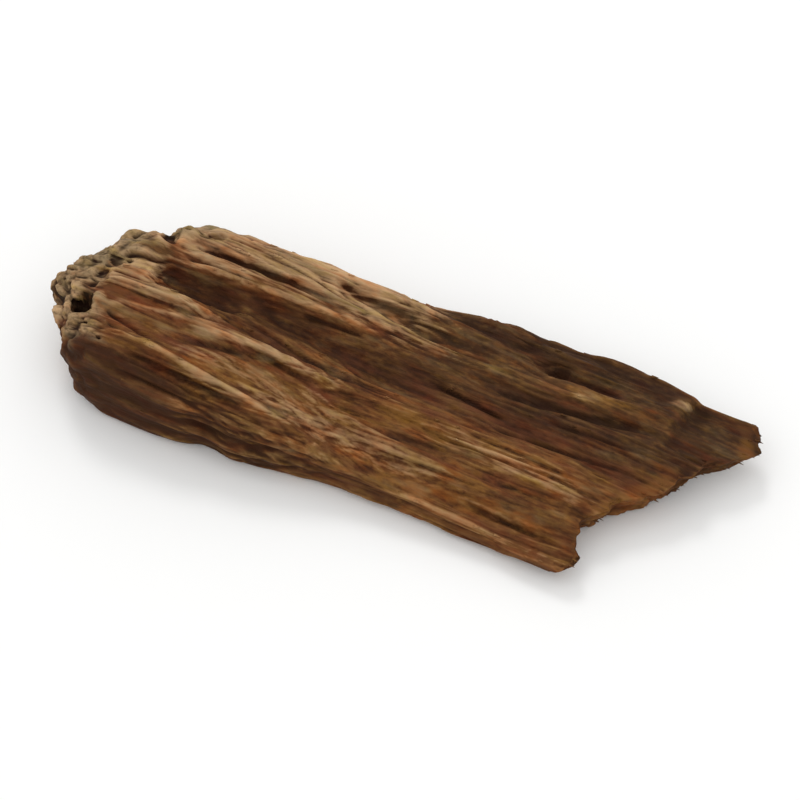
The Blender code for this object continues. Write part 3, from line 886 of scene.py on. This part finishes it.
@dataclass(frozen=True)
class Splinters:
    """Fine slivers of wood, rooted in the skin along the break and on torn ridges, pointing along the grain.

    Each is a thin four-sided spike: its cross-section is a flat diamond that shrinks with (1 - way)^taper
    from root to tip, and its middle line leaves the skin with the square of the way along it.

    Attributes:
        rings: how many rings of four corners each has.
        length_mm, half_width_mm: the least and the most.
        flatness: the thickness by the width.
        lift, sway: how much they point away from the skin, and how much they differ.
        taper, tip: how they thin out, and the share of thickness where they end.
        curl_mm: how far the tip curls away from the skin.
        sunk: the share of the length that is rooted in the wood.
        break_reach_mm, break_above_mm: how far from the break they still grow, and how far up they begin.
        break_share, ridge_share: how likely they are at the break and on the ridges.
        ridge_raised, ridge_upward, ridge_knobs: how raised and how upward a ridge is at least, and the
            share of knobs that it has at most.
    """

    count: int = 150
    rings: int = 5
    seed: int = 51
    length_mm: Pair = (0.3, 0.9)
    half_width_mm: Pair = (0.08, 0.20)
    flatness: float = 0.55
    lift: Pair = (-0.02, 0.08)
    sway: float = 0.05
    taper: float = 0.7
    tip: float = 0.01
    curl_mm: float = 0.06
    sunk: float = 0.4
    break_reach_mm: float = 1.0
    break_above_mm: float = 0.8
    break_share: float = 0.06
    ridge_share: float = 0.12
    ridge_raised: float = 0.5
    ridge_upward: float = 0.2
    ridge_knobs: float = 0.2

    def build(self, surface: Surface, from_break: Array, low: Array, high: Array) -> bpy.types.Object:
        """Makes the slivers as one mesh, inside the solid's box.

        Args:
            surface: the skin that they grow from.
            from_break: how far each of its points lies from the break, in mm.
            low: the solid's lowest corner, in mm.
            high: the solid's highest corner, in mm.

        Returns:
            The slivers' object.
        """
        draw = np.random.default_rng(self.seed)
        raised, knobs = surface.shares["fine"], surface.shares["knobs"]
        ridges = (raised > self.ridge_raised) & (knobs < self.ridge_knobs)
        ridges &= surface.normals[:, 2] > self.ridge_upward
        at_break = (from_break < self.break_reach_mm) & (surface.points[:, 2] > self.break_above_mm)
        wanted = self.break_share * at_break + self.ridge_share * ridges
        roots = draw.choice(len(wanted), self.count, replace=False, p=wanted / wanted.sum())
        root = surface.rows(roots)

        size = np.exp(draw.uniform(*np.log(self.length_mm), self.count))[:, None]
        half = draw.uniform(*self.half_width_mm, self.count)[:, None]
        rise = draw.uniform(*self.lift, self.count)[:, None]
        sway = draw.normal(0.0, self.sway, (self.count, 3))
        ahead = np.array([1.0, 0.0, 0.0]) + rise * root.normals + sway
        ahead /= np.linalg.norm(ahead, axis=1, keepdims=True)
        side = np.cross(root.normals, ahead)
        side /= np.maximum(np.linalg.norm(side, axis=1, keepdims=True), TINY)
        up = np.cross(ahead, side)

        way = np.linspace(0.0, 1.0, self.rings)[None, :, None]
        taper = np.maximum(1.0 - way, self.tip) ** self.taper
        start = root.points - self.sunk * size * ahead
        curl = way**2 * self.curl_mm * root.normals[:, None]
        middle = start[:, None] + way * (size * ahead)[:, None] + curl
        corners = np.stack([side, self.flatness * up, -side, -self.flatness * up], axis=1) * half[:, None]
        points = middle[:, :, None] + taper[..., None] * corners[:, None]

        number = np.arange(self.count * self.rings * 4).reshape(self.count, self.rings, 4)
        turned = np.roll(number, -1, axis=2)
        walls = np.stack([number[:, :-1], turned[:, :-1], turned[:, 1:], number[:, 1:]], axis=-1)
        quads = np.concatenate([walls.reshape(-1, 4), number[:, 0, ::-1], number[:, -1]])
        points = np.clip(points.reshape(-1, 3), low, high)
        obj = mesh_object("splinters", points, quads)
        spread = root.rows(np.repeat(np.arange(self.count), self.rings * 4))
        grown = spread.places + (points - spread.points)
        Surface(points, spread.normals, grown, spread.shares).paint(obj.data)
        log.info("splinters: %d slivers, %d quads", self.count, len(quads))
        return obj


def mesh_object(name: str, points: Array, quads: Array) -> bpy.types.Object:
    """A smooth-shaded mesh object at the origin, from points in mm and quads."""
    mesh = bpy.data.meshes.new(name)
    mesh.vertices.add(len(points))
    mesh.vertices.foreach_set("co", (points * MM).astype(np.float32).ravel())
    mesh.loops.add(quads.size)
    mesh.loops.foreach_set("vertex_index", quads.astype(np.int32).ravel())
    mesh.polygons.add(len(quads))
    mesh.polygons.foreach_set("loop_start", np.arange(0, quads.size, 4, dtype=np.int32))
    mesh.update(calc_edges=True)
    mesh.shade_smooth()
    obj = bpy.data.objects.new(name, mesh)
    bpy.context.scene.collection.objects.link(obj)
    return obj


def linear(hex_colour: str) -> Colour:
    """An sRGB hex colour, such as "#8a6f50", as linear red, green, blue and alpha."""
    values = [int(hex_colour[place:place + 2], 16) / 255.0 for place in (1, 3, 5)]
    red, green, blue = (v / 12.92 if v <= 0.04045 else ((v + 0.055) / 1.055) ** 2.4 for v in values)
    return red, green, blue, 1.0


def add_node(
    tree: bpy.types.NodeTree,
    kind: str,
    inputs: Mapping[int | str, object] | None = None,
    stops: tuple[tuple[float, str], ...] = (),
    **settings: object,
) -> bpy.types.Node:
    """Adds a node, with its settings, its colour stops, and its inputs set or linked.

    Args:
        tree: the node tree it goes in.
        kind: Blender's name for the node's type.
        inputs: for each input's name or number, a value to set or a socket to link.
        stops: (place, hex colour) pairs for a colour ramp.
        settings: the node's own properties.

    Returns:
        The node.
    """
    node = tree.nodes.new(kind)
    for name, value in settings.items():
        setattr(node, name, value)
    for key, value in (inputs or {}).items():
        if isinstance(value, bpy.types.NodeSocket):
            tree.links.new(value, node.inputs[key])
        else:
            node.inputs[key].default_value = value
    for number, (place, colour) in enumerate(stops):
        elements = node.color_ramp.elements
        element = elements[number] if number < 2 else elements.new(place)
        element.position, element.color = place, linear(colour)
    return node


class Mode(Enum):
    """How a layer's colour meets the colours below it."""

    MIX = "MIX"
    MULTIPLY = "MULTIPLY"


@dataclass(frozen=True)
class Pattern:
    """A noise about 0.5 that lies along the grain.

    Attributes:
        length: how long its patches are, in mm.
        width: how wide they are, in mm.
        detail: how much finer detail it has.
        offset: where in the noise it starts.
    """

    length: float
    width: float
    detail: float
    offset: float


@dataclass(frozen=True)
class Amount:
    """How much of something there is: the start plus each named share or pattern times its factor."""

    start: float
    terms: tuple[tuple[str, float], ...]


@dataclass(frozen=True)
class Layer:
    """A colour laid over those below it, by an amount that is held from 0 to 1."""

    colour: str
    amount: Amount
    mode: Mode = Mode.MIX


@dataclass(frozen=True)
class Heartwood:
    """Weathered agarwood: dry fibrous heartwood, broken by hand and left rough, dark where it holds resin.

    It looks matt and brown, almost black in its grooves, tan to grey on worn ridges and knobs, and
    orange-brown where it broke last. Its colour holds painted shade in the grooves, the crevices, the sides
    and the break's face, and painted highlight on raised ridges and tops.

    Attributes:
        shares, patterns: what the finish reads from the skin, and its own noises.
        hair_gap: how near to its middle the hair pattern is on a hairline.
        height, ramp: how high a place counts, from deep groove to worn ridge, and the colour by that: dark
        in the dips partly from dirt and resin and partly as painted shade, pale on the ridges partly from
        wear and partly as painted highlight.
        layers: the colours that lie over it, in turn.
        bump, bump_mm, bump_strength: what stands up too finely for the mesh, how high, and how much.
        noise_roughness: how strong the patterns' finer detail is.
        rough_fibres, roughness: the fibres' range over which it grows from smooth to rough.
    """

    shares: tuple[str, ...] = (
        "fine", "broad", "pale", "resin", "red", "gold", "dull", "fresh", "side", "crevice", "knobs",
    )
    # Real fibres are 0.02 to 0.1 mm wide and too fine to show, so fibres and down are drawn coarser
    patterns: tuple[tuple[str, Pattern], ...] = (
        ("fibres", Pattern(4.0, 0.38, 3.0, 3.1)),
        ("flecks", Pattern(1.1, 0.42, 3.0, 5.3)),
        ("streaks", Pattern(9.0, 0.9, 2.0, 7.7)),
        ("blotches", Pattern(4.5, 2.0, 2.0, 12.3)),
        ("hairs", Pattern(7.0, 0.8, 1.0, 17.9)),
        ("down", Pattern(1.6, 0.15, 2.0, 21.0)),
        ("mottle", Pattern(6.5, 1.7, 2.0, 33.1)),
        ("hue", Pattern(3.2, 1.1, 2.0, 41.7)),
        ("grit", Pattern(0.55, 0.42, 3.0, 51.3)),
    )
    hair_gap: float = 0.035
    # Dips below the neighbours darken the ramp, partly dirt and resin and partly painted shade; raised ridges
    # go paler, partly as painted highlight
    height: Amount = Amount(-0.155, (
        ("fine", 0.12), ("broad", 0.12), ("fibres", 0.28), ("flecks", 0.30), ("streaks", 0.40),
        ("blotches", 0.42), ("hairline", -0.06),
    ))
    ramp: tuple[tuple[float, str], ...] = (
        (0.00, "#140a02"), (0.22, "#2c1607"), (0.42, "#523017"), (0.58, "#6c4626"), (0.78, "#8e663b"),
        (1.00, "#ae8859"),
    )
    layers: tuple[Layer, ...] = (
        # Dull grey-brown, golden and reddish wood, in soft mottles
        Layer("#40321f", Amount(-0.35, (("dull", 0.8), ("mottle", 0.8), ("fibres", -0.5)))),
        Layer("#8a5f2c", Amount(-1.66, (("gold", 0.50), ("mottle", 1.8), ("flecks", 1.4)))),
        Layer("#6f3d26", Amount(0.55, (("red", 0.60), ("mottle", -2.2), ("flecks", 0.8)))),
        # Tan wear and painted highlight on ridges and rims, and grey weathering on wear and knobs
        Layer("#c4a078", Amount(-1.05, (
            ("pale", 1.0), ("fine", 0.36), ("broad", 0.24), ("resin", -0.6), ("streaks", 0.6),
            ("flecks", 0.58), ("fibres", 0.42), ("hairline", -0.12),
        ))),
        Layer("#8c785a", Amount(-1.55, (("pale", 0.4), ("knobs", 0.50), ("mottle", 2.6)))),
        # Dark resin, partly painted shade in broad dips, on the break's face and the wall's lower part;
        # painted shade on the sides; and painted shade in the crevices between the knobs
        Layer("#29160c", Amount(-0.05, (
            ("resin", 0.80), ("broad", -0.18), ("streaks", 0.5), ("flecks", -0.5),
        ))),
        Layer("#38200f", Amount(0.20, (("side", 0.90), ("fine", -0.45), ("flecks", -0.6)))),
        Layer("#29160c", Amount(-0.05, (("crevice", 1.1),))),
        # Orange-brown where it broke last, and dark grit on the knobs
        Layer("#80552b", Amount(-0.35, (("fresh", 0.9), ("fibres", 0.5)))),
        Layer("#40321f", Amount(0.98, (("knobs", 0.55), ("grit", -2.8)))),
        # A warmer and a cooler cast, side by side
        Layer("#ffd3ae", Amount(-1.7, (("hue", 3.6), ("knobs", -0.6))), Mode.MULTIPLY),
        Layer("#f1efb6", Amount(1.8, (("hue", -3.6),)), Mode.MULTIPLY),
    )
    bump: Amount = Amount(0.0, (
        ("fibres", 1.0), ("flecks", 0.8), ("down", 0.6), ("hairline", -0.3), ("gritty", 1.6),
    ))
    bump_mm: float = 0.12
    bump_strength: float = 0.7
    noise_roughness: float = 0.6
    rough_fibres: Pair = (0.3, 0.7)
    roughness: Pair = (0.62, 0.9)
    specular: float = 0.12
    ior: float = 1.5

    def sources(self, tree: bpy.types.NodeTree) -> dict[str, bpy.types.NodeSocket]:
        """Adds the skin's shares and the patterns, with the hairlines and the knobs' grit made from them.

        Args:
            tree: the material's node tree.

        Returns:
            Each one's socket by its name.
        """
        sources = {
            name: add_node(tree, "ShaderNodeAttribute", attribute_name=name).outputs["Fac"]
            for name in self.shares
        }
        grain = add_node(tree, "ShaderNodeAttribute", attribute_name="grain").outputs["Vector"]
        for name, pattern in self.patterns:
            scale = (1.0 / pattern.length, 1.0 / pattern.width, 1.0 / pattern.width)
            place = add_node(
                tree, "ShaderNodeMapping",
                {"Vector": grain, "Scale": scale, "Location": (pattern.offset,) * 3},
            ).outputs[0]
            sources[name] = add_node(
                tree, "ShaderNodeTexNoise",
                {"Vector": place, "Scale": 1.0, "Detail": pattern.detail, "Roughness": self.noise_roughness},
            ).outputs["Fac"]
        middle = self.total(tree, sources, Amount(-0.5, (("hairs", 1.0),)))
        gap = add_node(tree, "ShaderNodeMath", {0: middle}, operation="ABSOLUTE").outputs[0]
        sources["hairline"] = add_node(
            tree, "ShaderNodeMapRange", {0: gap, 1: 0.0, 2: self.hair_gap, 3: 1.0, 4: 0.0},
        ).outputs[0]
        sources["gritty"] = add_node(
            tree, "ShaderNodeMath", {0: sources["grit"], 1: sources["knobs"]}, operation="MULTIPLY",
        ).outputs[0]
        return sources

    def total(
        self, tree: bpy.types.NodeTree, sources: Mapping[str, bpy.types.NodeSocket], amount: Amount,
    ) -> bpy.types.NodeSocket:
        """Adds the nodes that work out an amount.

        Args:
            tree: the material's node tree.
            sources: the sockets of what the amount names.
            amount: the sum.

        Returns:
            The socket that has it.
        """
        value: object = amount.start
        for name, factor in amount.terms:
            inputs = {0: sources[name], 1: factor, 2: value}
            value = add_node(tree, "ShaderNodeMath", inputs, operation="MULTIPLY_ADD").outputs[0]
        return value

    def material(self) -> bpy.types.Material:
        """The finish as a procedural material that reads the skin's attributes."""
        material = bpy.data.materials.new("weathered_heartwood")
        material.use_nodes = True
        tree = material.node_tree
        tree.nodes.clear()
        sources = self.sources(tree)
        height = self.total(tree, sources, self.height)
        colour = add_node(tree, "ShaderNodeValToRGB", {0: height}, self.ramp).outputs[0]
        for layer in self.layers:
            amount = self.total(tree, sources, layer.amount)
            colour = add_node(
                tree, "ShaderNodeMix", {0: amount, 6: colour, 7: linear(layer.colour)},
                data_type="RGBA", blend_type=layer.mode.value, clamp_factor=True,
            ).outputs[2]

        low, high = self.rough_fibres
        smooth, rough = self.roughness
        roughness = add_node(
            tree, "ShaderNodeMapRange", {0: sources["fibres"], 1: low, 2: high, 3: smooth, 4: rough},
        ).outputs[0]
        bump = add_node(tree, "ShaderNodeBump", {
            "Height": self.total(tree, sources, self.bump), "Strength": self.bump_strength,
            "Distance": self.bump_mm * MM,
        }).outputs[0]
        shader = add_node(tree, "ShaderNodeBsdfPrincipled", {
            "Base Color": colour, "Roughness": roughness, "Normal": bump, "IOR": self.ior,
            "Specular IOR Level": self.specular,
        }).outputs[0]
        add_node(tree, "ShaderNodeOutputMaterial", {"Surface": shader})
        return material


@dataclass(frozen=True)
class Studio:
    """A plain pale floor, soft light and the camera at the photograph's viewing angle.

    Attributes:
        azimuth, elevation: how far round to the right, and how far up, the camera stands, in degrees.
        view_side_mm, target_mm: how wide the view is at the chip, and what it looks at.
        key_from: where the lamp hangs, in metres.
    """

    azimuth: float = 26.56
    elevation: float = 52.0
    lens_mm: float = 190.0
    sensor_mm: float = 36.0
    view_side_mm: float = 77.0
    target_mm: tuple[float, float, float] = (1.5, -0.83, 4.0)
    floor_side_m: float = 3.0
    floor_colour: str = "#fdfdfc"
    floor_roughness: float = 0.9
    key_watts: float = 1.85
    key_side_m: float = 0.30
    key_from: tuple[float, float, float] = (-0.45, 0.55, 0.75)
    world_strength: float = 0.92

    def floor(self) -> bpy.types.Object:
        """A wide flat sheet of pale paper under the chip."""
        half = 0.5 * self.floor_side_m / MM
        corners = np.array([(-half, -half, 0.0), (half, -half, 0.0), (half, half, 0.0), (-half, half, 0.0)])
        obj = mesh_object("floor", corners, np.array([[0, 1, 2, 3]]))
        # Matt, almost white paper: a plain ground that takes a soft shadow
        material = bpy.data.materials.new("pale_paper")
        material.use_nodes = True
        shader = material.node_tree.nodes["Principled BSDF"]
        shader.inputs["Base Color"].default_value = linear(self.floor_colour)
        shader.inputs["Roughness"].default_value = self.floor_roughness
        obj.data.materials.append(material)
        return obj

    def lights(self) -> None:
        """One large soft lamp from behind on the left, and an even pale sky."""
        place = Vector(self.key_from)
        lamp = bpy.data.lights.new("key", "AREA")
        lamp.shape, lamp.size, lamp.energy = "DISK", self.key_side_m, self.key_watts
        key = bpy.data.objects.new("key", lamp)
        key.location = place
        key.rotation_mode = "QUATERNION"
        key.rotation_quaternion = (-place).to_track_quat("-Z", "Y")
        bpy.context.scene.collection.objects.link(key)
        world = bpy.data.worlds.new("studio")
        world.use_nodes = True
        background = world.node_tree.nodes["Background"]
        background.inputs[0].default_value = (1.0, 1.0, 1.0, 1.0)
        background.inputs[1].default_value = self.world_strength
        bpy.context.scene.world = world

    def camera(self) -> None:
        """A long lens, placed so that the square view is view_side_mm wide at the chip."""
        turn, rise = math.radians(self.azimuth), math.radians(self.elevation)
        back = Vector((math.sin(turn) * math.cos(rise), -math.cos(turn) * math.cos(rise), math.sin(rise)))
        data = bpy.data.cameras.new("camera")
        data.lens, data.sensor_width = self.lens_mm, self.sensor_mm
        distance = self.view_side_mm * MM * self.lens_mm / self.sensor_mm
        data.clip_start, data.clip_end = 0.1 * distance, 20.0 * distance
        camera = bpy.data.objects.new("camera", data)
        camera.location = Vector(self.target_mm) * MM + back * distance
        camera.rotation_mode = "QUATERNION"
        camera.rotation_quaternion = (-back).to_track_quat("-Z", "Y")
        bpy.context.scene.collection.objects.link(camera)
        bpy.context.scene.camera = camera


def main() -> None:
    """Builds the chip's skin, its splinters and the studio round them."""
    logging.basicConfig(level=logging.INFO, format="%(message)s")
    low, high = (np.array(corner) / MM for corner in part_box(NODE))
    skin, surface, from_break = ChipSkin().build(low, high)
    splinters = Splinters().build(surface, from_break, low, high)
    wood = Heartwood().material()
    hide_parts(NODE)
    for piece in (skin, splinters):
        piece.data.materials.append(wood)
        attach(piece, "root")
    studio = Studio()
    studio.floor()
    studio.lights()
    studio.camera()
    bpy.context.scene.view_settings.view_transform = "Standard"


if __name__ == "__main__":
    main()
